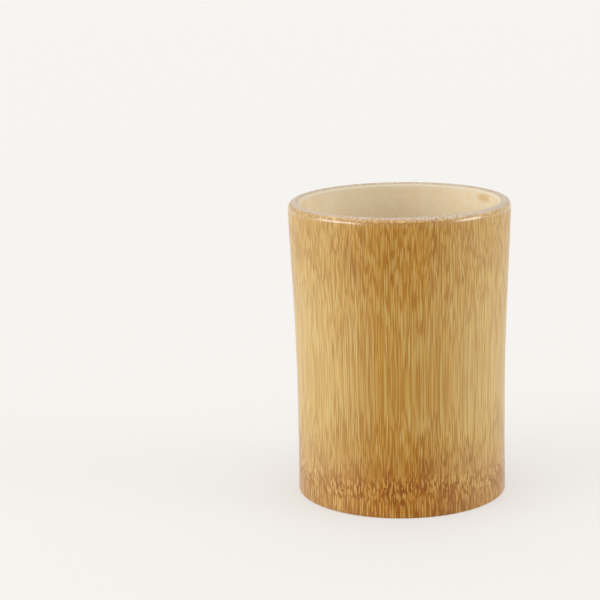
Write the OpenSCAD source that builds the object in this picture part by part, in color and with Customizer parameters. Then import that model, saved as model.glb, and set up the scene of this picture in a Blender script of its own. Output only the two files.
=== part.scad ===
// Bamboo cup, cut from one culm just below a node.
// The node's diaphragm is the floor, the stub below it is the foot ring, and the green skin has been
// turned off, which leaves a slight waist, a gently flared mouth and a round lip.

/* [Outside] */
// Height from the foot to the top of the lip
cup_h = 100; // [70:1:140]
// Outside diameter at the lip
lip_d = 74.5; // [66:0.5:90]
// Outside diameter at the waist, the slimmest part
waist_d = 70.6; // [60:0.2:80]
// Outside diameter at the foot
foot_d = 70.8; // [62:0.2:84]
// Height at which the swelling of the node ends and the waist begins
swell_z = 20; // [12:1:26]
// Height at which the waist ends and the mouth begins to open
waist_z = 34; // [28:1:44]

/* [Wall] */
// Thickness of the whole wall at the lip
lip_wall = 3.9; // [2.6:0.1:5]
// Thickness of the whole wall from the waist down to the floor
waist_wall = 4.4; // [3:0.1:6]
// Thickness of the pale inner skin, which is part of the wall's thickness
skin_t = 0.6; // [0.4:0.1:1.2]
// Clearance between neighbouring layers, which on the plant are grown together
layer_gap = 0.04; // [0.02:0.01:0.1]

/* [Lip] */
// Height of the straight land at the lip
lip_land = 2.5; // [2.5:0.5:8]
// Radius of the lip's outer edge
lip_outer_r = 2.2; // [0.5:0.1:2.5]
// Radius of the lip's inner edge
lip_inner_r = 1.6; // [0.5:0.1:2.4]
// Least width of the flat that is left on top of the lip
lip_flat = 0.1; // [0.05:0.05:1]

/* [Node and floor] */
// Height of the middle of the diaphragm's edge above the foot
node_z = 9.6; // [8:0.2:16]
// Thickness of the diaphragm
diaphragm_t = 4; // [3:0.2:5]
// Depth of the floor's dish at its centre
floor_dish = 1.4; // [0.4:0.1:2]
// Radius of the cove between the floor and the wall
floor_cove_r = 4.5; // [2:0.5:6]
// Width of the ledge in the wall that carries the diaphragm
ledge_w = 1.4; // [0.8:0.1:2.4]

/* [Foot] */
// Height of the straight land at the foot
foot_land = 3; // [2:0.5:4]
// Radius of the foot's outer edge
foot_outer_r = 0.6; // [0.3:0.1:1.2]
// Radius of the foot's inner edge
foot_inner_r = 1; // [0.3:0.1:1.6]

/* [Hidden] */
$fn = 96;

// Steps of the outline from the foot to the waist, and from the waist to the lip
swell_steps = 6;
flare_steps = 26;

lip_r = lip_d / 2;
waist_r = waist_d / 2;
foot_r = foot_d / 2;
flare_top = cup_h - lip_land;

// Round edges of the lip, as far as its wall has room for them
lip_outer_edge = min(lip_outer_r, 0.6 * (lip_wall - lip_flat));
lip_inner_edge = min(lip_inner_r, lip_wall - lip_flat - lip_outer_edge);

// Two ways from 0 to 1: level at both ends, and level at the start but still opening at the end
soft_step = function (t) t * t * (3 - 2 * t);
opening_out = function (t) t * t * (2 - t);

// Outside radius from the foot up to the waist
function swell_r(z) =
    foot_r + (waist_r - foot_r) * soft_step(min(max((z - foot_land) / (swell_z - foot_land), 0), 1));

// The ledge, the floor above it, and the height at which the floor's cove meets the inner skin
ledge_z = node_z - diaphragm_t / 2;
floor_z = ledge_z + diaphragm_t;
cove_top = floor_z + floor_cove_r;

// Radius of the chamber, which is the face of the inner skin, at the lip, the waist and the node
lip_chamber_r = lip_r - lip_wall;
waist_chamber_r = waist_r - waist_wall;
node_chamber_r = min(swell_r(ledge_z), swell_r(cove_top)) - waist_wall;

// Radius of the wall behind the inner skin, of the hollow stub below the ledge and of the floor
bore_r = node_chamber_r + skin_t;
stub_r = bore_r - ledge_w;
floor_r = node_chamber_r - floor_cove_r;

// The n points that take an outline on from the point a to the point b, in the given way
function sweep(a, b, way, n) = [
    for (i = [1 : n]) [a.x + (b.x - a.x) * way(i / n), a.y + (b.y - a.y) * i / n]
];

function reversed(points) = [for (i = [len(points) - 1 : -1 : 0]) points[i]];

// The outline of the outside, from the foot up
outside = concat(
    [[foot_r, 0], [foot_r, foot_land]],
    sweep([foot_r, foot_land], [waist_r, swell_z], soft_step, swell_steps),
    [[waist_r, waist_z]],
    sweep([waist_r, waist_z], [lip_r, flare_top], opening_out, flare_steps),
    [[lip_r, cup_h]]
);

// The outline of the chamber from the foot of the inner skin up to the lip, set back by depth
function chamber(depth) =
    let (
        skin_point = [node_chamber_r + depth, cove_top + layer_gap],
        waist_point = [waist_chamber_r + depth, waist_z],
        lip_point = [lip_chamber_r + depth, flare_top]
    )
    concat(
        [skin_point],
        sweep(skin_point, waist_point, soft_step, swell_steps),
        sweep(waist_point, lip_point, opening_out, flare_steps),
        [[lip_point.x, cup_h]]
    );

// What a round edge of radius r takes off a square corner at the origin that points up and outwards
module edge_cut(r) {
    translate([-r, -r])
        difference() {
            square(2 * r);
            circle(r);
        }
}

// The round edges of the lip, which cut the wall and the inner skin alike
module lip_cuts() {
    translate([lip_r, cup_h])
        edge_cut(lip_outer_edge);
    translate([lip_chamber_r, cup_h])
        mirror([1, 0])
            edge_cut(lip_inner_edge);
}

// The round edges of the foot ring
module foot_cuts() {
    translate([foot_r, 0])
        mirror([0, 1])
            edge_cut(foot_outer_r);
    translate([stub_r, 0])
        rotate(180)
            edge_cut(foot_inner_r);
}

// Half the section of a shallow lens that hangs below the origin, of radius r and depth at its centre
module lens(r, depth) {
    sphere_r = (r * r + depth * depth) / (2 * depth);
    intersection() {
        translate([0, -depth])
            square([r, depth + layer_gap]);
        translate([0, sphere_r - depth])
            circle(sphere_r);
    }
}

// The fibrous wall, with the ledge at the node and the hollow stub below it
module culm_wall() {
    color("#cf9d56")
        rotate_extrude()
            difference() {
                polygon(concat(
                    outside,
                    reversed(chamber(skin_t)),
                    [[bore_r, ledge_z], [stub_r, ledge_z], [stub_r, 0]]
                ));
                lip_cuts();
                foot_cuts();
            }
}

// The pale lining, which stands on the cove of the floor and is rounded off with the lip
module inner_skin() {
    color("#dcc59c")
        rotate_extrude()
            difference() {
                polygon(concat(chamber(skin_t - layer_gap), reversed(chamber(0))));
                lip_cuts();
            }
}

// The dished plate that closes the culm, with a cove that runs up to the inner skin
module node_diaphragm() {
    seat_z = ledge_z + layer_gap;
    color("#c9a469")
        rotate_extrude() {
            difference() {
                translate([0, seat_z])
                    square([bore_r - layer_gap, cove_top - seat_z]);
                translate([0, floor_z])
                    square([floor_r, 2 * floor_cove_r]);
                translate([floor_r, cove_top])
                    circle(floor_cove_r);
                translate([0, floor_z])
                    lens(floor_r, floor_dish);
            }
            translate([0, seat_z])
                lens(stub_r - layer_gap, floor_dish);
        }
}

culm_wall();
inner_skin();
node_diaphragm();
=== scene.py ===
# %% [markdown]
# A bamboo cup
# The cup is one length of bamboo culm. It is cut a little below a node, so that the woody plate which
# closes every culm at its nodes becomes the floor, and then the green skin is turned off on a lathe.
# The construction comes as three solids in their real size and place. This lesson makes a finely divided
# mesh for each of them, gives it the finish of real bamboo, and then sets up the light and the camera.

# %% Load the construction
import math
import random

import bpy
import numpy as np
from mathutils import Matrix, Vector


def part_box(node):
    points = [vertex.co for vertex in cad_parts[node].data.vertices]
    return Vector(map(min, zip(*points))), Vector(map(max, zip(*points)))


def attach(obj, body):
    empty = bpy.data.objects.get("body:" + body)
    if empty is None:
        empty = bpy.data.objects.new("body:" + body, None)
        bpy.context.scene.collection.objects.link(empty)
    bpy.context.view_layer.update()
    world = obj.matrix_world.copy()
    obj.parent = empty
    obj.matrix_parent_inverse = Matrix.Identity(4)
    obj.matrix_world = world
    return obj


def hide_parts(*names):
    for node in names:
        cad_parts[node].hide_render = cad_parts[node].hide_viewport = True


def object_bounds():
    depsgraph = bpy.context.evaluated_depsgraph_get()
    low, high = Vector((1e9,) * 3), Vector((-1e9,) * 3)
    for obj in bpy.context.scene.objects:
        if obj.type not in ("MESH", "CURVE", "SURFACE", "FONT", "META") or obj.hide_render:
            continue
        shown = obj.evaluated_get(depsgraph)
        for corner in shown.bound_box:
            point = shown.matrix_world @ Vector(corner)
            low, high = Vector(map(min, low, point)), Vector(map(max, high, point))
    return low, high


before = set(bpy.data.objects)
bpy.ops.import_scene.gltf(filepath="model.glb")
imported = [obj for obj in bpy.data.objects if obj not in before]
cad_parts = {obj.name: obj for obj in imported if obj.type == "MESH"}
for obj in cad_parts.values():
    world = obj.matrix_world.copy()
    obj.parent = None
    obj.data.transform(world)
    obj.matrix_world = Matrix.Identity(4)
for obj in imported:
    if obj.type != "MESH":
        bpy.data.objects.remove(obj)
cad_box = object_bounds()
MM = 0.001
print(len(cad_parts), "solids, in mm:", [[round(v / MM, 2) for v in corner] for corner in cad_box])

# %% [markdown]
# Sizes
# Blender works in metres, and a cup is easier to think of in millimetres, so each size is written as so
# many MM. What the construction's boxes tell is read from them. The rest repeats the construction's own
# sizes: the thickness of the pale inner skin, the waist, and the round edges at the lip and the foot.

# %% Sizes of the cup
plate_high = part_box("node_diaphragm")[1]
skin_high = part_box("inner_skin")[1]

CUP_H = cad_box[1].z
LIP_R = min(-cad_box[0].x, -cad_box[0].y, cad_box[1].x, cad_box[1].y)
FOOT_R = 35.4 * MM
WAIST_R = 35.3 * MM
FOOT_LAND = 3.0 * MM
SWELL_Z = 20.0 * MM
WAIST_Z = 34.0 * MM
LIP_LAND = 2.5 * MM
FLARE_TOP = CUP_H - LIP_LAND

LAYER_GAP = 0.04 * MM
SKIN = 0.6 * MM
WAIST_WALL = 4.4 * MM
LEDGE = 1.4 * MM
BORE_R = plate_high.x + LAYER_GAP
STUB_R = BORE_R - LEDGE
LIP_CHAMBER_R = skin_high.x - SKIN + LAYER_GAP
WAIST_CHAMBER_R = WAIST_R - WAIST_WALL
NODE_CHAMBER_R = BORE_R - SKIN

SEAT_Z = 7.6 * MM
COVE_R = 4.5 * MM
DISH = 1.4 * MM
COVE_TOP = plate_high.z
FLOOR_Z = COVE_TOP - COVE_R
FLOOR_R = NODE_CHAMBER_R - COVE_R

LIP_OUTER_EDGE = 2.2 * MM
LIP_INNER_EDGE = 1.6 * MM
FOOT_OUTER_EDGE = 0.6 * MM
FOOT_INNER_EDGE = 1.0 * MM
print("wall at the lip in mm:", round((LIP_R - LIP_CHAMBER_R) / MM, 2))

# %% [markdown]
# Outlines
# A turned piece is the same all the way round, so its whole shape is one outline of radius and height.
# Points along the flare could be typed in by hand, but two short formulas give a smoother curve and let
# us choose how closely the points sit: close where the node's pits need fine faces, wide elsewhere.


# %% Formulas for the outline
def soft_step(t):
    """Runs from 0 to 1, level at both ends."""
    t = min(max(t, 0.0), 1.0)
    return t * t * (3.0 - 2.0 * t)


def opening_out(t):
    """Runs from 0 to 1, level at the start and still opening at the end."""
    t = min(max(t, 0.0), 1.0)
    return t * t * (2.0 - t)


def flare(z):
    """How far the mouth has opened at a height: 0 up to the waist, 1 at the lip."""
    return opening_out((z - WAIST_Z) / (FLARE_TOP - WAIST_Z))


def outside_r(z):
    """Radius of the outside at a height."""
    swell = FOOT_R + (WAIST_R - FOOT_R) * soft_step((z - FOOT_LAND) / (SWELL_Z - FOOT_LAND))
    return swell + (LIP_R - WAIST_R) * flare(z)


def chamber_r(z):
    """Radius of the chamber, which is the face of the inner skin, at a height."""
    swell = soft_step((z - COVE_TOP) / (WAIST_Z - COVE_TOP))
    waist = NODE_CHAMBER_R + (WAIST_CHAMBER_R - NODE_CHAMBER_R) * swell
    return waist + (LIP_CHAMBER_R - WAIST_CHAMBER_R) * flare(z)


print("outside radius at the waist in mm:", round(outside_r(WAIST_Z) / MM, 2))


# %% Points along an outline
def rise(radius_at, start, end, steps, set_back=0.0):
    """Points from one height to another along a formula for the radius."""
    heights = [start + (end - start) * i / steps for i in range(steps + 1)]
    return [(radius_at(z) + set_back, z) for z in heights]


def arc(centre, radius, start, end, steps):
    """Points along part of a circle, with its angles in degrees."""
    turns = [math.radians(start + (end - start) * i / steps) for i in range(steps + 1)]
    return [(centre[0] + radius * math.cos(t), centre[1] + radius * math.sin(t)) for t in turns]


def dish(rim_r, rim_z, depth, steps):
    """Points of a shallow bowl, from its lowest point on the axis out to its rim."""
    ball = (rim_r * rim_r + depth * depth) / (2.0 * depth)
    across = [rim_r * i / steps for i in range(steps + 1)]
    return [(r, rim_z - depth + ball - math.sqrt(ball * ball - r * r)) for r in across]


floor_middle = dish(FLOOR_R, FLOOR_Z, DISH, steps=1)[0]
print("height of the floor at its middle in mm:", round(floor_middle[1] / MM, 2))

# %% [markdown]
# Turning
# We start from a small plane, merge it into a single vertex, and extrude that vertex from point to point
# until the outline is drawn. Spin could then carry it round the axis, but it takes a minute over the many
# steps that fine pits need. The Screw modifier with no rise is the same lathe and takes a second. Its
# first and last copies lie on each other, so doubles are merged, and the faces are turned outwards
# afterwards, because the lathe doesn't know which side of the outline is wood.

# %% The lathe
WELD = 0.002 * MM
CREASE = math.radians(40)


def turned(name, outline, segments):
    """A closed mesh made by turning an outline of (radius, height) points round the upright axis."""
    bpy.ops.object.select_all(action="DESELECT")
    bpy.ops.mesh.primitive_plane_add(size=MM, location=(0, 0, 0))
    piece = bpy.context.object
    piece.name = name
    piece.data.name = name
    bpy.ops.object.mode_set(mode="EDIT")
    bpy.ops.mesh.select_all(action="SELECT")
    bpy.ops.mesh.merge(type="CENTER")
    bpy.ops.transform.translate(value=(outline[0][0], 0.0, outline[0][1]))
    for (r0, z0), (r1, z1) in zip(outline, outline[1:]):
        bpy.ops.mesh.extrude_region_move(TRANSFORM_OT_translate={"value": (r1 - r0, 0.0, z1 - z0)})
    bpy.ops.object.mode_set(mode="OBJECT")
    bpy.ops.object.modifier_add(type="SCREW")
    lathe = piece.modifiers[-1]
    lathe.steps = segments
    lathe.render_steps = segments
    bpy.ops.object.modifier_apply(modifier=lathe.name)
    bpy.ops.object.mode_set(mode="EDIT")
    bpy.ops.mesh.select_all(action="SELECT")
    bpy.ops.mesh.remove_doubles(threshold=WELD)
    bpy.ops.mesh.normals_make_consistent(inside=False)
    bpy.ops.object.mode_set(mode="OBJECT")
    bpy.ops.object.shade_smooth_by_angle(angle=CREASE)
    print(name, "has", len(piece.data.vertices), "vertices and", len(piece.data.polygons), "faces")
    return piece


# %% [markdown]
# The wall
# The wall runs from the foot ring up to the round lip, down behind the inner skin, in under the floor
# along a ledge, and down the hollow stub below the node. The lip's inner edge is one round that the wall
# and the skin share, so the wall's part of that arc stops where the skin begins.

# %% Turn the wall
WALL_SEGMENTS = 880
NODE_BAND = (4.5 * MM, 15.5 * MM)
BAND_STEP = 0.3 * MM

foot_outer_centre = (FOOT_R - FOOT_OUTER_EDGE, FOOT_OUTER_EDGE)
foot_inner_centre = (STUB_R + FOOT_INNER_EDGE, FOOT_INNER_EDGE)
lip_outer_centre = (LIP_R - LIP_OUTER_EDGE, CUP_H - LIP_OUTER_EDGE)
lip_inner_centre = (LIP_CHAMBER_R + LIP_INNER_EDGE, CUP_H - LIP_INNER_EDGE)
band_steps = round((NODE_BAND[1] - NODE_BAND[0]) / BAND_STEP)


def lip_angle(radius):
    """The angle on the lip's inner round at which it reaches a radius, in degrees."""
    return math.degrees(math.acos((radius - lip_inner_centre[0]) / LIP_INNER_EDGE))


wall_outline = arc(foot_outer_centre, FOOT_OUTER_EDGE, -90, 0, steps=4)
wall_outline += rise(outside_r, FOOT_OUTER_EDGE, NODE_BAND[0], steps=5)[1:]
wall_outline += rise(outside_r, NODE_BAND[0], NODE_BAND[1], steps=band_steps)[1:]
wall_outline += rise(outside_r, NODE_BAND[1], CUP_H - LIP_OUTER_EDGE, steps=26)[1:]
wall_outline += arc(lip_outer_centre, LIP_OUTER_EDGE, 0, 90, steps=12)[1:]
wall_outline += arc(lip_inner_centre, LIP_INNER_EDGE, 90, lip_angle(LIP_CHAMBER_R + SKIN), steps=5)
wall_outline += rise(chamber_r, FLARE_TOP, COVE_TOP + LAYER_GAP, steps=10, set_back=SKIN)
wall_outline += [(BORE_R, SEAT_Z), (STUB_R, SEAT_Z), (STUB_R, FOOT_INNER_EDGE)]
wall_outline += arc(foot_inner_centre, FOOT_INNER_EDGE, 180, 270, steps=5)[1:]
wall_outline += wall_outline[:1]
wall = turned("wall", wall_outline, WALL_SEGMENTS)

# %% [markdown]
# The inner skin
# The chamber of a culm is lined with a thin, pale, papery layer. It stands on the cove of the floor and
# is rounded off together with the lip. It gets its own mesh, so that its grainy surface can be modelled
# apart from the smooth outside.

# %% Turn the inner skin
LINING_SEGMENTS = 420

lining_back = SKIN - LAYER_GAP
lining_edge = lip_angle(LIP_CHAMBER_R + lining_back)
lining_outline = rise(chamber_r, COVE_TOP + LAYER_GAP, FLARE_TOP, steps=70)
lining_outline += arc(lip_inner_centre, LIP_INNER_EDGE, 180, lining_edge, steps=6)
lining_outline += rise(chamber_r, FLARE_TOP, COVE_TOP + LAYER_GAP, steps=10, set_back=lining_back)
lining_outline += lining_outline[:1]
lining = turned("lining", lining_outline, LINING_SEGMENTS)

# %% [markdown]
# The floor
# The plate that closes the culm is dished above and bellied below, and a cove leads from it up to the
# inner skin. Its outline starts and ends on the axis, so that turning it leaves nothing open.

# %% Turn the floor plate
FLOOR_SEGMENTS = 300

floor_plate_outline = dish(FLOOR_R, FLOOR_Z, DISH, steps=60)
floor_plate_outline += arc((FLOOR_R, COVE_TOP), COVE_R, 270, 360, steps=14)[1:]
floor_plate_outline += [(plate_high.x, COVE_TOP), (plate_high.x, SEAT_Z + LAYER_GAP)]
floor_plate_outline += dish(STUB_R - LAYER_GAP, SEAT_Z + LAYER_GAP, DISH, steps=60)[::-1]
floor_plate = turned("floor_plate", floor_plate_outline, FLOOR_SEGMENTS)

# %% [markdown]
# Pits at the node
# A culm's fibres turn inwards at each node, and on the turned surface that shows as a wavy band of short
# pale teeth with tiny open pits among them. The teeth lie flat in the wood, so they are left to the
# finish. The pits could be painted too, but they have depth. So they are brushed into a vertex group,
# which a Displace modifier then sinks. The pits in front are listed one by one, and those on the other
# sides come from a seeded generator.

# %% Place the pits
# Heights in mm of the node's wavy line, every 20 degrees from the front towards +X
NODE_LINE = [
    10.4, 10.7, 9.8, 8.9, 10.6, 10.9, 9.7, 9.2, 9.9,
    10.6, 9.5, 8.8, 9.6, 10.5, 10.3, 10.4, 8.2, 8.9,
]
# Degrees from the front towards +X, and heights in mm, of the pits that face the camera
FRONT_PITS = [
    (-53, 8.8), (-40, 7.1), (-34, 7.7), (-9, 10.0), (-5, 8.0), (0, 11.4), (0.5, 9.4), (6, 11.2),
    (9, 9.8), (18, 11.0), (24, 10.4), (25, 8.3), (31, 10.3), (55, 8.2), (67, 11.1),
]
# Radii in mm between which the sizes of those pits are drawn
FRONT_PIT_MM = (0.2, 0.36)
# The other pits: how many, the degrees that they start from and spread over, where each may lie within
# its share of those degrees, how far it may stray from the node's line in mm, and its radius in mm
BACK_PITS = 30
BACK_START = 75.0
BACK_SPREAD = 213.0
BACK_SHARE = (0.1, 0.9)
BACK_STRAY_MM = (-2.2, 1.4)
BACK_PIT_MM = (0.24, 0.42)
PIT_SEED = 31


def node_height(degrees):
    """Height in mm of the node's line, in soft steps from one entry of the list to the next."""
    place = (degrees % 360.0) * len(NODE_LINE) / 360.0
    before = int(place) % len(NODE_LINE)
    after = (before + 1) % len(NODE_LINE)
    return NODE_LINE[before] + (NODE_LINE[after] - NODE_LINE[before]) * soft_step(place - int(place))


chance = random.Random(PIT_SEED)
pits = [(turn, height, chance.uniform(*FRONT_PIT_MM)) for turn, height in FRONT_PITS]
for i in range(BACK_PITS):
    turn = BACK_START + BACK_SPREAD * (i + chance.uniform(*BACK_SHARE)) / BACK_PITS
    height = node_height(turn) + chance.uniform(*BACK_STRAY_MM)
    pits.append((turn, height, chance.uniform(*BACK_PIT_MM)))
print(len(pits), "pits at the node")


# %% Measure the wall
def places_in_mm(piece):
    """The places of all vertices of a mesh, one row for each."""
    flat = np.empty(len(piece.data.vertices) * 3)
    piece.data.vertices.foreach_get("co", flat)
    return flat.reshape(-1, 3) / MM


places = places_in_mm(wall)
heights = places[:, 2]
turns = np.degrees(np.arctan2(places[:, 0], -places[:, 1]))
radii = np.hypot(places[:, 0], places[:, 1])
outer_faces = np.array([outside_r(height * MM) / MM for height in heights])
node_lines = np.array([node_height(turn) for turn in turns])
print("the wall reaches from", radii.min().round(2), "to", radii.max().round(2), "mm from the axis")

# %% Brush the pits into the wall
# How many times as tall as wide a pit is
PIT_STRETCH = 1.25


def across_mm(turn):
    """How far each vertex lies from an upright line on the wall, in mm along the surface."""
    return np.radians((turns - turn + 180.0) % 360.0 - 180.0) * radii


pit_weight = np.zeros(len(places))
for turn, height, size in pits:
    away_across = across_mm(turn) / size
    away_along = (heights - height) / (size * PIT_STRETCH)
    pit_weight = np.maximum(pit_weight, np.exp(-(away_across**2) - away_along**2))
# The face of the hollow stub, which lies behind the node, has no pits
pit_weight = pit_weight * (radii > (BORE_R + STUB_R) / 2 / MM)
print("vertices inside a pit:", int((pit_weight > 0.5).sum()))

# %% [markdown]
# Notes for the finish
# A finish knows where it is on the object, but not where the pits are or how deep the lip's round has cut
# into the wall. It could work both out from long formulas. It is simpler to note them on the mesh while we
# have them, one number for each vertex: the pits' weight, the height above the node's line, and the depth
# below the outer face.


# %% Keep the notes as attributes
def keep_as_attribute(piece, name, values):
    attribute = piece.data.attributes.new(name, "FLOAT", "POINT")
    attribute.data.foreach_set("value", values.astype(np.float32))
    print(name, "runs from", values.min().round(2), "to", values.max().round(2))


keep_as_attribute(wall, "pit", pit_weight)
keep_as_attribute(wall, "above_node", heights - node_lines)
keep_as_attribute(wall, "depth", np.maximum(outer_faces - radii, 0.0))

# %% [markdown]
# Sinking the surface
# Displace moves vertices along their normals, by the weight of a vertex group. The pits need no texture
# and take its whole depth. The rest of the outside gets a slow, shallow unevenness from a cloud texture,
# as hand sanding leaves it, and the lining and the floor get a finer one, because a culm's inside is never
# turned. With its middle level at the top of the texture's range, Displace can only press inwards, so the
# cup never grows past its real size.

# %% A press for the surface
# Vertices of less weight stay out of the group
LEAST_WEIGHT = 0.01


def press_in(piece, name, weights, depth, texture=None):
    """Applies a Displace modifier that only ever sinks the surface."""
    group = piece.vertex_groups.new(name=name)
    for index in np.nonzero(weights > LEAST_WEIGHT)[0]:
        group.add([int(index)], float(weights[index]), "REPLACE")
    bpy.ops.object.select_all(action="DESELECT")
    piece.select_set(True)
    bpy.context.view_layer.objects.active = piece
    bpy.ops.object.modifier_add(type="DISPLACE")
    press = piece.modifiers[-1]
    press.name = name
    press.vertex_group = group.name
    if texture is None:
        press.strength = -depth
        press.mid_level = 0.0
    else:
        press.strength = depth
        press.mid_level = 1.0
        press.texture = texture
        press.texture_coords = "LOCAL"
    bpy.ops.object.modifier_apply(modifier=press.name)
    print(name, "pressed into", piece.name, "by up to", depth / MM, "mm")


def clouds(name, size, detail):
    texture = bpy.data.textures.new(name, "CLOUDS")
    texture.noise_scale = size
    texture.noise_depth = detail
    return texture


def inside(low, high, values):
    """1 between two limits, going softly down to 0 within a millimetre of them."""
    return np.clip(np.minimum(values - low, high - values), 0.0, 1.0)


# %% Press the pits and the sanding into the wall
PIT_DEPTH = 0.45 * MM
SANDING_DEPTH = 0.12 * MM
SANDING_GRAIN = 9 * MM
SANDED_HEIGHTS_MM = (1.0, 97.0)
# Radius in mm that parts the outside from the rest of the wall
SANDED_FROM_R_MM = 34.5

sanded = inside(*SANDED_HEIGHTS_MM, heights) * (radii > SANDED_FROM_R_MM)
press_in(wall, "node_pits", pit_weight, PIT_DEPTH)
press_in(wall, "sanding", sanded, SANDING_DEPTH, clouds("sanding", SANDING_GRAIN, detail=1))

# %% Press the unevenness into the inside
PAPER_DEPTH = 0.18 * MM
PAPER_GRAIN = 2.2 * MM
PAPER_HEIGHTS_MM = (17.0, 97.5)
# How far behind the lining's face a vertex may lie and still count as on it
FACE_SLACK_MM = 0.3
KNOT_DEPTH = 0.35 * MM
KNOT_GRAIN = 3 * MM
# The lower limit is a millimetre below zero, so that the middle of the floor keeps its full weight
KNOT_RADII_MM = (-1.0, FLOOR_R / MM)
# Height in mm that parts the floor's upper face from its lower one
UPPER_FACE_MM = 9.0

lining_places = places_in_mm(lining)
lining_radii = np.hypot(lining_places[:, 0], lining_places[:, 1])
lining_faces = np.array([chamber_r(height * MM) / MM for height in lining_places[:, 2]])
papery = inside(*PAPER_HEIGHTS_MM, lining_places[:, 2]) * (lining_radii < lining_faces + FACE_SLACK_MM)
press_in(lining, "paper", papery, PAPER_DEPTH, clouds("paper", PAPER_GRAIN, detail=2))

floor_places = places_in_mm(floor_plate)
floor_radii = np.hypot(floor_places[:, 0], floor_places[:, 1])
knotty = inside(*KNOT_RADII_MM, floor_radii) * (floor_places[:, 2] > UPPER_FACE_MM)
press_in(floor_plate, "knots", knotty, KNOT_DEPTH, clouds("knots", KNOT_GRAIN, detail=2))

# %% [markdown]
# Unrolling the wall
# A cup that is used outside Blender wears its finish as a picture, and a UV map says where each face lies
# on it. Smart UV Project would cut the wall into many islands. Unrolled like a label it keeps its fibres
# upright and whole. The front and the back each get a long row, so that a thin fibre is several pixels
# wide, and the hidden side of the wall shares a narrow row above them. The map's name is the one that the
# export looks for, and no finish reads it.


# %% Measure along the outline
def along_outline(outline, radius, height):
    """How far along an outline each place lies, by the outline's nearest point, and the whole length."""
    nearest = np.full(len(radius), np.inf)
    found = np.zeros(len(radius))
    start = 0.0
    for (r0, z0), (r1, z1) in zip(outline, outline[1:]):
        length = math.hypot(r1 - r0, z1 - z0)
        share = ((radius - r0) * (r1 - r0) + (height - z0) * (z1 - z0)) / length**2
        share = np.clip(share, 0.0, 1.0)
        gap = np.hypot(radius - r0 - share * (r1 - r0), height - z0 - share * (z1 - z0))
        found = np.where(gap < nearest, start + share * length, found)
        nearest = np.minimum(nearest, gap)
        start += length
    return found, start


along, whole = along_outline(wall_outline, radii * MM, heights * MM)
seen = along_outline(wall_outline, np.array([LIP_CHAMBER_R + SKIN]), np.array([CUP_H]))[0][0]
print("outline in mm:", round(whole / MM, 1), "of which", round(seen / MM, 1), "is seen")

# %% Unroll the wall
# Where the rows begin and end on the map, from its bottom to its top
FRONT_ROW = (0.0, 0.45)
BACK_ROW = (0.46, 0.91)
HIDDEN_ROW = (0.92, 1.0)


def row(span, share):
    return span[0] + (span[1] - span[0]) * share


# The four corners of each face, carried past the outline's end and past the back where a face lies there
corners = np.empty(len(wall.data.loops), dtype=np.int32)
wall.data.loops.foreach_get("vertex_index", corners)
corners = corners.reshape(-1, 4)
run = along[corners]
run = np.where((np.ptp(run, axis=1, keepdims=True) > whole / 2) & (run < whole / 2), run + whole, run)
turn = turns[corners]
turn = turn[:, :1] + (turn - turn[:, :1] + 180.0) % 360.0 - 180.0
middle = turn.mean(axis=1, keepdims=True)
turn = turn + (middle + 90.0) % 360.0 - 90.0 - middle
in_front = (middle + 90.0) % 360.0 < 180.0
is_seen = run.mean(axis=1, keepdims=True) < seen

half_round = np.where(in_front, turn + 90.0, turn - 90.0) / 180.0
across = np.where(is_seen, half_round, (turn + 90.0) / 360.0)
upwards_seen = np.where(in_front, row(FRONT_ROW, run / seen), row(BACK_ROW, run / seen))
upwards_hidden = row(HIDDEN_ROW, (run - seen) / (whole - seen))
unrolled = np.stack([across, np.where(is_seen, upwards_seen, upwards_hidden)], axis=2)
label = wall.data.uv_layers.new(name="OFBake")
label.uv.foreach_set("vector", unrolled.astype(np.float32).ravel())
print("unrolled", len(corners), "faces, from", unrolled.min(axis=(0, 1)), "to", unrolled.max(axis=(0, 1)))

# %% [markdown]
# Shader maths in Python
# A finish is a tree of nodes, and long sums are hard to read as a tree. The small class below wraps one
# output of a node. Adding or multiplying wires adds the Math nodes, so a formula in Python becomes the
# same formula in the finish. Colours go through Mix nodes instead, since Math nodes would turn them grey.
# The helpers after it wrap the nodes that the finishes need again and again, such as a mix of two colours,
# a soft step, a cloud of noise and a pattern of cells.


# %% A wire between shader nodes
class Wire:
    """One output of a shader node, on which Python's operators add Math nodes."""

    def __init__(self, socket):
        self.socket = socket

    def node(self, kind, settings, sockets, output=0):
        """Adds a node beside this wire: its settings first, then values or wires for its sockets."""
        tree = self.socket.id_data
        node = tree.nodes.new("ShaderNode" + kind)
        for name, value in settings.items():
            setattr(node, name, value)
        for name, value in sockets.items():
            if isinstance(value, Wire):
                tree.links.new(value.socket, node.inputs[name])
            else:
                node.inputs[name].default_value = value
        return Wire(node.outputs[output])

    def maths(self, operation, first, second):
        return self.node("Math", {"operation": operation}, {0: first, 1: second})

    def __add__(self, other):
        return self.maths("ADD", self, other)

    def __radd__(self, other):
        return self.maths("ADD", other, self)

    def __sub__(self, other):
        return self.maths("SUBTRACT", self, other)

    def __rsub__(self, other):
        return self.maths("SUBTRACT", other, self)

    def __mul__(self, other):
        return self.maths("MULTIPLY", self, other)

    def __rmul__(self, other):
        return self.maths("MULTIPLY", other, self)

    def __truediv__(self, other):
        return self.maths("DIVIDE", self, other)

    def __rtruediv__(self, other):
        return self.maths("DIVIDE", other, self)

    def __pow__(self, other):
        return self.maths("POWER", self, other)

    def __rpow__(self, other):
        return self.maths("POWER", other, self)

    def other(self, output):
        """Another output of the same node."""
        return Wire(self.socket.node.outputs[output])


# %% Helpers for colours
def srgb(red, green, blue):
    """A colour as seen on a screen, from 0 to 255, as the linear values that a shader needs."""
    shares = [v / 255.0 for v in (red, green, blue)]
    linear = [v / 12.92 if v <= 0.04045 else ((v + 0.055) / 1.055) ** 2.4 for v in shares]
    return (*linear, 1.0)


def mix(share, first, second):
    """A colour between two colours."""
    return share.node("Mix", {"data_type": "RGBA"}, {0: share, 6: first, 7: second}, 2)


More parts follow.
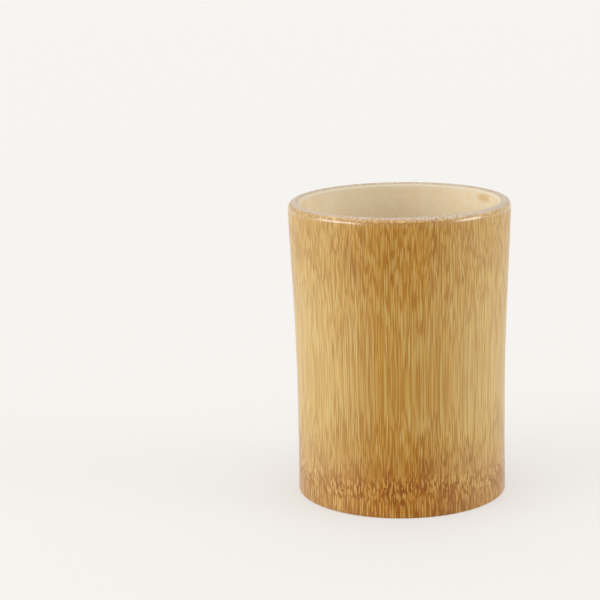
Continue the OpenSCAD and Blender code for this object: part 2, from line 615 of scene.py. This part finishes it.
def tint(share, colour, by):
    """A colour multiplied by another one, by the given share."""
    settings = {"data_type": "RGBA", "blend_type": "MULTIPLY"}
    return share.node("Mix", settings, {0: share, 6: colour, 7: by}, 2)


# %% Helpers for patterns
def split(place):
    """The three parts of a place or a direction."""
    parts = place.node("SeparateXYZ", {}, {"Vector": place})
    return parts, parts.other("Y"), parts.other("Z")


def attribute(place, name):
    """A number that was noted on the mesh."""
    return place.node("Attribute", {"attribute_name": name}, {}, "Fac")


def step(value, low, high):
    """Goes softly from 0 to 1 as the value goes from low to high."""
    ranges = {"Value": value, "From Min": low, "From Max": high}
    return value.node("MapRange", {"interpolation_type": "SMOOTHSTEP"}, ranges)


def blend(share, first, second):
    """A number between two numbers."""
    return first + (second - first) * share


def cloud(place, across, along, detail=2.0, shift=0.0):
    """Noise from about -1 to 1, of the given grain in mm across and along the culm."""
    stretch = (1.0 / across, 1.0 / across, 1.0 / along)
    moved = place.node("VectorMath", {"operation": "MULTIPLY_ADD"}, {0: place, 1: stretch, 2: (shift,) * 3})
    noise = place.node("TexNoise", {}, {"Vector": moved, "Scale": 1.0, "Detail": detail, "Roughness": 0.5})
    return (noise - 0.5) * 4.0


def cells(vector, dimensions, scale, randomness):
    """A pattern of cells: how far each place is from the middle of its cell, and the cell's own chance."""
    sockets = {"Vector": vector, "Scale": scale, "Randomness": randomness}
    distance = vector.node("TexVoronoi", {"voronoi_dimensions": dimensions}, sockets, "Distance")
    return distance, vector.node("SeparateColor", {}, {"Color": distance.other("Color")})


# %% Helpers for finishes
def new_finish(name):
    """A material with its shader, and a wire that carries the place on the object in mm."""
    finish = bpy.data.materials.new(name)
    finish.use_nodes = True
    shader = finish.node_tree.nodes["Principled BSDF"]
    coordinates = Wire(finish.node_tree.nodes.new("ShaderNodeTexCoord").outputs["Object"])
    scaled = {0: coordinates, "Scale": 1.0 / MM}
    place = coordinates.node("VectorMath", {"operation": "SCALE"}, scaled)
    return finish, shader, place


def bump(height, depth):
    """Turns a height from 0 to 1 into tilted normals, as if it were so many metres deep."""
    return height.node("Bump", {}, {"Strength": 1.0, "Distance": depth, "Height": height})


def plug(wire, shader, name):
    """Links what changes over the surface to one of the shader's sockets."""
    wire.socket.id_data.links.new(wire.socket, shader.inputs[name])


def set_sockets(shader, values):
    """Sets what is the same all over the surface on the shader itself."""
    for name, value in values.items():
        shader.inputs[name].default_value = value


# %% [markdown]
# The finish of the wall
# Bamboo is a pale ground full of brown fibre bundles that run along the culm, closer together towards the
# outside. A lathe cuts through them at a slight slant wherever the culm wasn't perfectly round, so long
# streaks break up into spindles and flames. A picture of wood could be wrapped round the cup, but it would
# show a seam and blur close up. So the finish is made as the wood is. A flat pattern of cells stands for
# the bundles in cross-section, and the place where the surface cuts it wanders in and out with the height.

# %% Where the surface cuts the bundles
BUNDLE_MM = 0.52
# Heights in mm between which the cut runs along the fibres, and how fast it leaves them beyond, in mm of
# depth for each mm of height squared
STRAIGHT_FROM = 52.0
STRAIGHT_TO = 62.0
SLANT_BELOW = 0.0011
SLANT_ABOVE = 0.0008
# Grains in mm, across and along the culm, of the unevenness of the cut
WANDER_GRAIN = (3.5, 20.0)
RIPPLE_GRAIN = (1.2, 12.0)
JAG_GRAIN = (1.0, 2.4)


def bundle_cells(place, busy, near_node):
    """The bundles in cross-section, at the depth where the lathe has cut through them."""
    x, y, z = split(place)
    radius = (x * x + y * y) ** 0.5
    towards_lip = z.maths("MAXIMUM", z - STRAIGHT_TO, 0.0)
    towards_foot = z.maths("MAXIMUM", STRAIGHT_FROM - z, 0.0)
    slant = towards_lip * towards_lip * SLANT_ABOVE + towards_foot * towards_foot * SLANT_BELOW
    wander = cloud(place, *WANDER_GRAIN, detail=0.0) * (0.12 + 0.14 * busy)
    ripple = cloud(place, *RIPPLE_GRAIN, detail=0.0, shift=3.1) * 0.12 * busy
    jag = cloud(place, *JAG_GRAIN, detail=0.0, shift=7.7) * 0.16 * near_node
    push = slant + wander + ripple + jag
    cut = place.node("CombineXYZ", {}, {"X": x + x * push / radius, "Y": y + y * push / radius})
    return cells(cut, "2D", 1.0 / BUNDLE_MM, randomness=0.85)


# %% [markdown]
# Teeth and dots
# At the node the bundles turn inwards, and pale teeth show where they leave the surface. At the lip they
# are sawn straight through, and their ends show as brown dots. Teeth and dots could be two patterns, but
# one gives both: cells that are narrow across the culm and long along it. From the side each one is a
# tooth, and from above it is a dot.

# %% Teeth at the node and dots on the lip
TOOTH_ACROSS_MM = 0.7
TOOTH_ALONG_MM = 4.2
# Below this height in mm the teeth run straight on down to the foot
TEETH_FROM = 4.5
WAVER_GRAIN = (4.0, 40.0)
# Shares of a cell, from its middle, over which a tooth or a dot fades
TOOTH_EDGE = (0.3, 0.54)
DENSE_DOT_EDGE = (0.46, 0.62)
SPARSE_DOT_EDGE = (0.3, 0.48)


def tooth_cells(place):
    """Long cells, each row of them at a height that wavers round the culm."""
    x, y, z = split(place)
    waver = cloud(place, *WAVER_GRAIN, detail=1.0, shift=5.2) * 0.8
    high = z.maths("MAXIMUM", z, TEETH_FROM) / TOOTH_ALONG_MM + z * 0.08 + waver
    shares = {"X": x / TOOTH_ACROSS_MM, "Y": y / TOOTH_ACROSS_MM, "Z": high}
    return cells(place.node("CombineXYZ", {}, shares), "3D", 1.0, randomness=0.75)


# %% [markdown]
# Putting the bamboo together
# Along the waist the fibres show as long lines, and towards both ends as spindles, which are also warmer
# in colour. The two sides towards ±X are painted paler, a painted reflection of the side light at the
# cup's edges. The lip's end grain fades inwards from dense dots to a pale ring with few of them: the
# inner wood is paler, and its grey tint is a painted reflection of the bright sky. The inside of the stub
# below the floor is plain. A thin varnish covers it all. It is thickest where it ran together on the lip,
# which is why only the lip gleams, and the sanded fibres add a faint sheen.

# %% Colours and zones of the bamboo
PALE_STRAW = srgb(199, 169, 103)
WARM_STRAW = srgb(195, 150, 65)
PAINTED_SIDE_REFLECTION = srgb(226, 205, 150)
FIBRE_BROWN = srgb(162, 110, 28)
DEEP_BROWN = srgb(141, 85, 11)
NODE_ORANGE = srgb(234, 204, 150)
PIT_DARK = srgb(84, 48, 20)
LIP_TAN_AND_SKY_REFLECTION = srgb(188, 175, 157)
STUB_TAN = srgb(206, 180, 134)

# Heights in mm between which one look gives way to another
SPINDLES_ABOVE = (58.0, 82.0)
SPINDLES_BELOW = (20.0, 50.0)
WARM_ABOVE = (68.0, 88.0)
WARM_BELOW = (14.0, 40.0)
ORANGE_BELOW = (8.0, 26.0)
BROWNER_BELOW = (8.0, 16.0)
FOOT_BELOW = (5.0, 8.0)
VARNISHED_ABOVE = (97.0, 98.4)
# Distances in mm from the node's line over which its band fades
NODE_FADE = (1.2, 4.8)
# Depths in mm below the outer face
END_GRAIN = (0.02, 0.3)
RING_START = (0.3, 0.8)
RING_FULL = (0.75, 1.25)
STUB_FACE = (4.2, 4.9)
# Grains in mm, across and along the culm
LONG_HAIR = (0.4, 80.0)
SHORT_HAIR = (0.4, 8.0)
BAND_GRAIN = (3.0, 60.0)
PATCH_GRAIN = (5.0, 11.0)
FIBRE_RELIEF = 0.02 * MM


def towards_ends(z, above, below):
    """1 towards the lip and towards the foot, and 0 between them."""
    return step(z, *above) + 1.0 - step(z, *below)


# %% Bamboo, cut along its fibres
def bamboo_wall():
    finish, shader, place = new_finish("turned_bamboo")
    x, y, z = split(place)
    above = attribute(place, "above_node")
    pit = attribute(place, "pit")
    depth = attribute(place, "depth")

    # Where each look belongs
    busy = towards_ends(z, SPINDLES_ABOVE, SPINDLES_BELOW)
    ends = towards_ends(z, WARM_ABOVE, WARM_BELOW)
    near_node = 1.0 - step(above.maths("ABSOLUTE", above, 0.0), *NODE_FADE)
    low_down = 1.0 - step(z, *BROWNER_BELOW)
    foot = 1.0 - step(z, *FOOT_BELOW)
    toward_the_sides = x * x / (x * x + y * y)
    # The lip's pale ring, paler wood with a painted reflection of the sky, comes further out towards +X
    rightwards = x.maths("MAXIMUM", x, 0.0)
    pale_ring_and_sky_reflection = step(depth, *RING_START) * step(depth + 0.04 * rightwards, *RING_FULL)

    # The bundles, the teeth and the dots
    distance, bundle_chance = bundle_cells(place, busy, near_node)
    from_middle, tooth_chance = tooth_cells(place)
    tooth = (1.0 - step(from_middle, *TOOTH_EDGE)) * (0.4 + 0.6 * tooth_chance)
    dense_dots = 1.0 - step(from_middle, *DENSE_DOT_EDGE)
    sparse_dots = 1.0 - step(from_middle, *SPARSE_DOT_EDGE)

    # How brown the wood is: lines at the waist, spindles towards the ends, dots on the end grain
    long_hair = cloud(place, *LONG_HAIR, detail=1.0, shift=1.7)
    short_hair = cloud(place, *SHORT_HAIR, detail=1.0, shift=6.1)
    hair = blend(busy, long_hair, short_hair)
    band = cloud(place, *BAND_GRAIN, shift=2.3)
    patch = cloud(place, *PATCH_GRAIN, shift=9.1)
    edge = 0.42 + 0.16 * (bundle_chance - 0.5) - 0.04 * patch
    strand = 1.0 - step(distance - edge, -0.16, 0.16)
    paleness = strand * (0.55 + 0.45 * bundle_chance.other("Green"))
    lines = 0.75 - 0.6 * paleness + 0.3 * long_hair + 0.1 * band
    spindles = 0.9 - 0.85 * paleness + 0.16 * short_hair + low_down * (0.25 - 0.35 * paleness)
    spindles = spindles + near_node * (0.22 - 2.1 * tooth) + foot * (0.2 - 1.4 * tooth)
    brown = blend(busy, lines, spindles)
    brown = blend(step(depth, *END_GRAIN), brown, 1.45 * dense_dots - 0.05)

    # The colours, from the ground up
    warmth = band * 0.2 + (patch * 0.2 + 0.4) * ends + 1.4 * bundle_chance.other("Blue") - 0.9
    ground = mix(step(warmth, -0.8, 0.8), PALE_STRAW, WARM_STRAW)
    fibres = mix(step(patch * busy + near_node * 0.5, -0.4, 1.2), FIBRE_BROWN, DEEP_BROWN)
    fibre_share = step(brown + 0.17 * ends, -0.24, 1.24)
    colour = mix(fibre_share, ground, fibres)
    colour = tint((0.9 - 0.9 * step(z, *ORANGE_BELOW)) * (1.0 - 0.5 * tooth), colour, NODE_ORANGE)
    # Painted reflection: the sides towards ±X are painted paler, as the side light makes the cup's edges
    # look
    painted_side_light = (0.8 - 0.3 * low_down) * toward_the_sides * (1.0 - 0.6 * toward_the_sides)
    colour = mix(painted_side_light * (1.55 - 0.8 * fibre_share), colour, PAINTED_SIDE_REFLECTION)
    # The pits are coloured dark brown
    colour = mix(step(pit, 0.3, 0.75) * 0.7, colour, PIT_DARK)
    # The pale ring: paler inner wood, with a painted reflection of the sky in its grey tint
    colour = mix(pale_ring_and_sky_reflection * (0.96 - 0.7 * sparse_dots), colour, LIP_TAN_AND_SKY_REFLECTION)
    colour = mix(step(depth, *STUB_FACE) * (0.9 - 0.1 * hair), colour, STUB_TAN)
    plug(colour, shader, "Base Color")

    # The relief and the gloss
    plug(bump(brown * 0.7 + hair * 0.3, FIBRE_RELIEF), shader, "Normal")
    plug(0.4 + 0.06 * hair + 0.3 * pit, shader, "Roughness")
    plug(0.08 + 0.92 * step(z, *VARNISHED_ABOVE) * (1.0 - 0.8 * pale_ring_and_sky_reflection), shader, "Coat Weight")
    set_sockets(shader, {"Coat IOR": 1.8, "Coat Roughness": 0.18, "Specular IOR Level": 0.15})
    set_sockets(shader, {"Sheen Weight": 0.3, "Sheen Roughness": 0.26})
    return finish


wall.data.materials.append(bamboo_wall())
print("finish of the wall:", len(wall.data.materials[0].node_tree.nodes), "nodes")

# %% [markdown]
# The finish of the lining
# The lining is a dry, papery film: pale, matte and finely granular. Where it is rounded off with the lip
# and faces the bright sky, it is painted greyer and darker, as painted shade that is darkest at its top.
# Damp has left an ochre stain on it, and a few specks. A stain could be painted on by hand. Here it is a
# soft dab at a place on the object, with a cloud that makes its edge ragged.

# %% Papery lining
LINING_TAN = srgb(238, 227, 203)
LINING_SHADE = srgb(230, 210, 172)
ROUND_PAINTED_SHADE = srgb(223, 212, 187)
ROUND_TOP_PAINTED_SHADE = srgb(196, 184, 166)
OCHRE = srgb(210, 168, 92)

# Heights in mm between which the painted shade on the round, and then the darker painted shade at its top,
# set in
EDGE_ABOVE = (98.0, 98.6)
TOP_ABOVE = (98.9, 99.9)
# Places on the object in mm, and sizes in mm across and along the culm
STAIN_PLACE = (29.3, 16.2, 97.2)
STAIN_SIZE = (5.0, 1.8)
SPECK_PLACE = (33.7, 0.7, 99.4)
SPECK_SIZE = (0.6, 0.6)
FOXING_PLACE = (3.2, 33.2, 97.1)
FOXING_SIZE = (3.4, 1.4)
RAGGED_GRAIN = (1.6, 1.0)
FILM_GRAIN = (0.35, 0.5)
BLOTCH_GRAIN = (5.0, 9.0)
STREAK_GRAIN = (0.8, 14.0)
FILM_RELIEF = 0.05 * MM


def dab(place, centre, across, along):
    """1 round a place on the object, with a ragged edge at so many mm across and along the culm."""
    offset = place.node("VectorMath", {"operation": "SUBTRACT"}, {0: place, 1: centre})
    shares = (1.0 / across, 1.0 / across, 1.0 / along)
    scaled = offset.node("VectorMath", {"operation": "MULTIPLY"}, {0: offset, 1: shares})
    away = scaled.node("VectorMath", {"operation": "LENGTH"}, {0: scaled}, "Value")
    return 1.0 - step(away + cloud(place, *RAGGED_GRAIN, shift=4.4) * 0.25, 0.3, 1.1)


def papery_lining():
    finish, shader, place = new_finish("papery_lining")
    z = split(place)[2]
    grain = cloud(place, *FILM_GRAIN, detail=3.0)
    blotch = cloud(place, *BLOTCH_GRAIN, shift=6.0)
    streak = cloud(place, *STREAK_GRAIN, shift=8.0)
    tone = mix(step(grain * 1.4 + blotch * 0.5 + streak * 0.15, -1.4, 1.5), LINING_TAN, LINING_SHADE)
    # Painted shade on the round at the lip, which faces the bright sky: greyer and darker, darkest at its
    # top
    tone = mix(step(z, *EDGE_ABOVE), tone, ROUND_PAINTED_SHADE)
    tone = mix(step(z, *TOP_ABOVE), tone, ROUND_TOP_PAINTED_SHADE)
    stain = dab(place, STAIN_PLACE, *STAIN_SIZE)
    speck = dab(place, SPECK_PLACE, *SPECK_SIZE)
    foxing = dab(place, FOXING_PLACE, *FOXING_SIZE) * step(grain, 0.0, 0.8)
    tone = mix(stain * 0.5 + speck * 0.6 + foxing * 0.4, tone, OCHRE)
    plug(tone, shader, "Base Color")
    plug(0.75 + 0.05 * grain, shader, "Roughness")
    plug(bump(grain * 0.5 + 0.5, FILM_RELIEF), shader, "Normal")
    set_sockets(shader, {"Specular IOR Level": 0.25})
    return finish


lining.data.materials.append(papery_lining())
print("finish of the lining:", len(lining.data.materials[0].node_tree.nodes), "nodes")

# %% [markdown]
# The finish of the floor
# The floor plate is woodier than the lining. Its fibres run every way, so it shows no grain along one
# direction, only knots and swirls, and it is browner towards its cove. Three clouds of different sizes,
# the same in every direction, are enough for that.

# %% Woody floor
FLOOR_PALE = srgb(216, 184, 132)
FLOOR_BROWN = srgb(184, 140, 84)
COVE_BROWN = srgb(176, 130, 74)
# Radii in mm between which the cove's brown sets in
COVE_FADE = (22.0, 31.0)
# Grains in mm, the same every way
WOOD_GRAIN = (0.4, 0.4)
KNOTS = (3.0, 3.0)
SWIRLS = (7.0, 7.0)
WOOD_RELIEF = 0.12 * MM


def woody_floor():
    finish, shader, place = new_finish("woody_floor")
    x, y = split(place)[:2]
    radius = (x * x + y * y) ** 0.5
    grain = cloud(place, *WOOD_GRAIN, detail=3.0)
    knots = cloud(place, *KNOTS, shift=2.0)
    swirl = cloud(place, *SWIRLS, shift=5.0)
    tone = mix(step(grain * 0.4 + knots * 0.5 + swirl * 0.4, -1.0, 1.1), FLOOR_PALE, FLOOR_BROWN)
    tone = mix(step(radius, *COVE_FADE) * 0.35, tone, COVE_BROWN)
    plug(tone, shader, "Base Color")
    plug(0.7 + 0.06 * grain, shader, "Roughness")
    plug(bump(grain * 0.4 + knots * 0.4 + 0.5, WOOD_RELIEF), shader, "Normal")
    set_sockets(shader, {"Specular IOR Level": 0.25})
    return finish


floor_plate.data.materials.append(woody_floor())
print("finish of the floor:", len(floor_plate.data.materials[0].node_tree.nodes), "nodes")

# %% [markdown]
# Joining the frame
# Each mesh stands for one solid of the construction and rides on the one body that the cup is.

# %% Let the pieces stand for the solids
for piece, solid, slot in (
    (wall, "culm_wall", "culm"),
    (lining, "inner_skin", "skin"),
    (floor_plate, "node_diaphragm", "diaphragm"),
):
    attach(piece, "root")
    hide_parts(solid)
    print(piece.name, "stands for", solid)

# %% [markdown]
# The table
# The cup stands on a broad near-white table that fills the picture. White paper would do, but the cup
# would throw a strong shadow on it. So the table is a plain grey that glows a little by itself. A glow
# takes no shadow, so the table is bright all over, with only a faint shade at the foot of the cup.

# %% Set up the table
TABLE_SIZE = 12.0
TABLE_PLACE = (0, 3.0, 0)

bpy.ops.object.select_all(action="DESELECT")
bpy.ops.mesh.primitive_plane_add(size=TABLE_SIZE, location=TABLE_PLACE)
studio_floor = bpy.context.object
studio_floor.name = "studio_floor"
paper = bpy.data.materials.new("studio_paper")
paper.use_nodes = True
set_sockets(paper.node_tree.nodes["Principled BSDF"], {
    "Base Color": (0.36, 0.355, 0.345, 1.0),
    "Emission Color": (1.0, 0.98, 0.96, 1.0),
    "Emission Strength": 0.46,
    "Roughness": 0.8,
    "Specular IOR Level": 0.1,
})
studio_floor.data.materials.append(paper)
print("table of", TABLE_SIZE, "m by", TABLE_SIZE, "m")

# %% [markdown]
# Light
# Two soft boxes stand at the sides, so the front of the cup is deepest in tone, and each leaves a soft
# gleam on the varnished lip. Area lamps could be the boxes. Here they are painted into the world around
# the cup instead, with a bright sky and a darker room behind the camera, so that one formula holds all of
# the light.

# %% A world with two soft boxes
# Strengths of the light
SKY = 1.15
ROOM = 0.55
ROOM_SHADE = 0.3
LEFT_BOX = 4.4
RIGHT_BOX = 5.0
# Where they begin and end, as the upward part of a direction or the part that points away from the camera
SKY_RISE = (0.4, 1.0)
SHADE_BACK = (-0.9, -0.1)
SHADE_TOP = (0.3, 0.65)
BOX_TOP = (0.32, 0.52)
# The share of a box's reach, to either side of its middle, that is fully lit
BOX_CORE = 0.2

world = bpy.data.worlds.new("surround")
bpy.context.scene.world = world
world.use_nodes = True
background = world.node_tree.nodes["Background"]
set_sockets(background, {"Color": (1.0, 0.985, 0.965, 1.0)})
direction = Wire(world.node_tree.nodes.new("ShaderNodeTexCoord").outputs["Generated"])
sideways, away, upwards = split(direction)


def soft_box(turn, reach):
    """1 towards a box that stands on the table so many degrees from the front, fading at its edges."""
    turn = math.radians(turn)
    level = (sideways * sideways + away * away) ** 0.5
    facing = (sideways * math.sin(turn) - away * math.cos(turn)) / level
    across = step(facing, math.cos(math.radians(reach)), math.cos(math.radians(reach * BOX_CORE)))
    return across * (1.0 - step(upwards, *BOX_TOP))


behind_camera = (1.0 - step(away, *SHADE_BACK)) * (1.0 - step(upwards, *SHADE_TOP))
surround = ROOM - ROOM_SHADE * behind_camera + SKY * step(upwards, *SKY_RISE)
boxes = LEFT_BOX * soft_box(turn=-66.0, reach=34.0) + RIGHT_BOX * soft_box(turn=77.0, reach=20.0)
plug(surround + boxes, background, "Strength")
bpy.context.scene.view_settings.view_transform = "Standard"
print("world:", len(world.node_tree.nodes), "nodes")

# %% [markdown]
# Camera
# The cup stands right of the middle and below it in the picture. Shifting the lens would place it there
# too, but a real camera was simply aimed a little to the left and above. So the camera first faces the
# middle of the cup's axis and is then turned by as many pixels as that point lies off the centre.

# %% Place the camera
PICTURE = 600.0
AXIS_MIDDLE_PX = (400.48, 344.35)
FOCAL_PX = 1914.8
CAMERA_PLACE = Vector((0.0, -631.5 * MM, 208.8 * MM))
CAMERA_ROLL = math.radians(-0.59)
SENSOR = 36.0

right_px = AXIS_MIDDLE_PX[0] - PICTURE / 2
down_px = AXIS_MIDDLE_PX[1] - PICTURE / 2
turn_left = math.atan2(right_px, FOCAL_PX)
turn_up = math.atan2(down_px, math.hypot(FOCAL_PX, right_px))
facing = (Vector((0, 0, CUP_H / 2)) - CAMERA_PLACE).to_track_quat("-Z", "Y").to_matrix()
facing = facing @ Matrix.Rotation(CAMERA_ROLL, 3, "Z")
facing = facing @ Matrix.Rotation(turn_up, 3, "X") @ Matrix.Rotation(turn_left, 3, "Y")

lens = bpy.data.cameras.new("camera")
lens.sensor_width = SENSOR
lens.lens = FOCAL_PX / PICTURE * SENSOR
camera = bpy.data.objects.new("camera", lens)
camera.matrix_world = Matrix.Translation(CAMERA_PLACE) @ facing.to_4x4()
bpy.context.scene.collection.objects.link(camera)
bpy.context.scene.camera = camera
print("lens in mm:", round(lens.lens, 2))
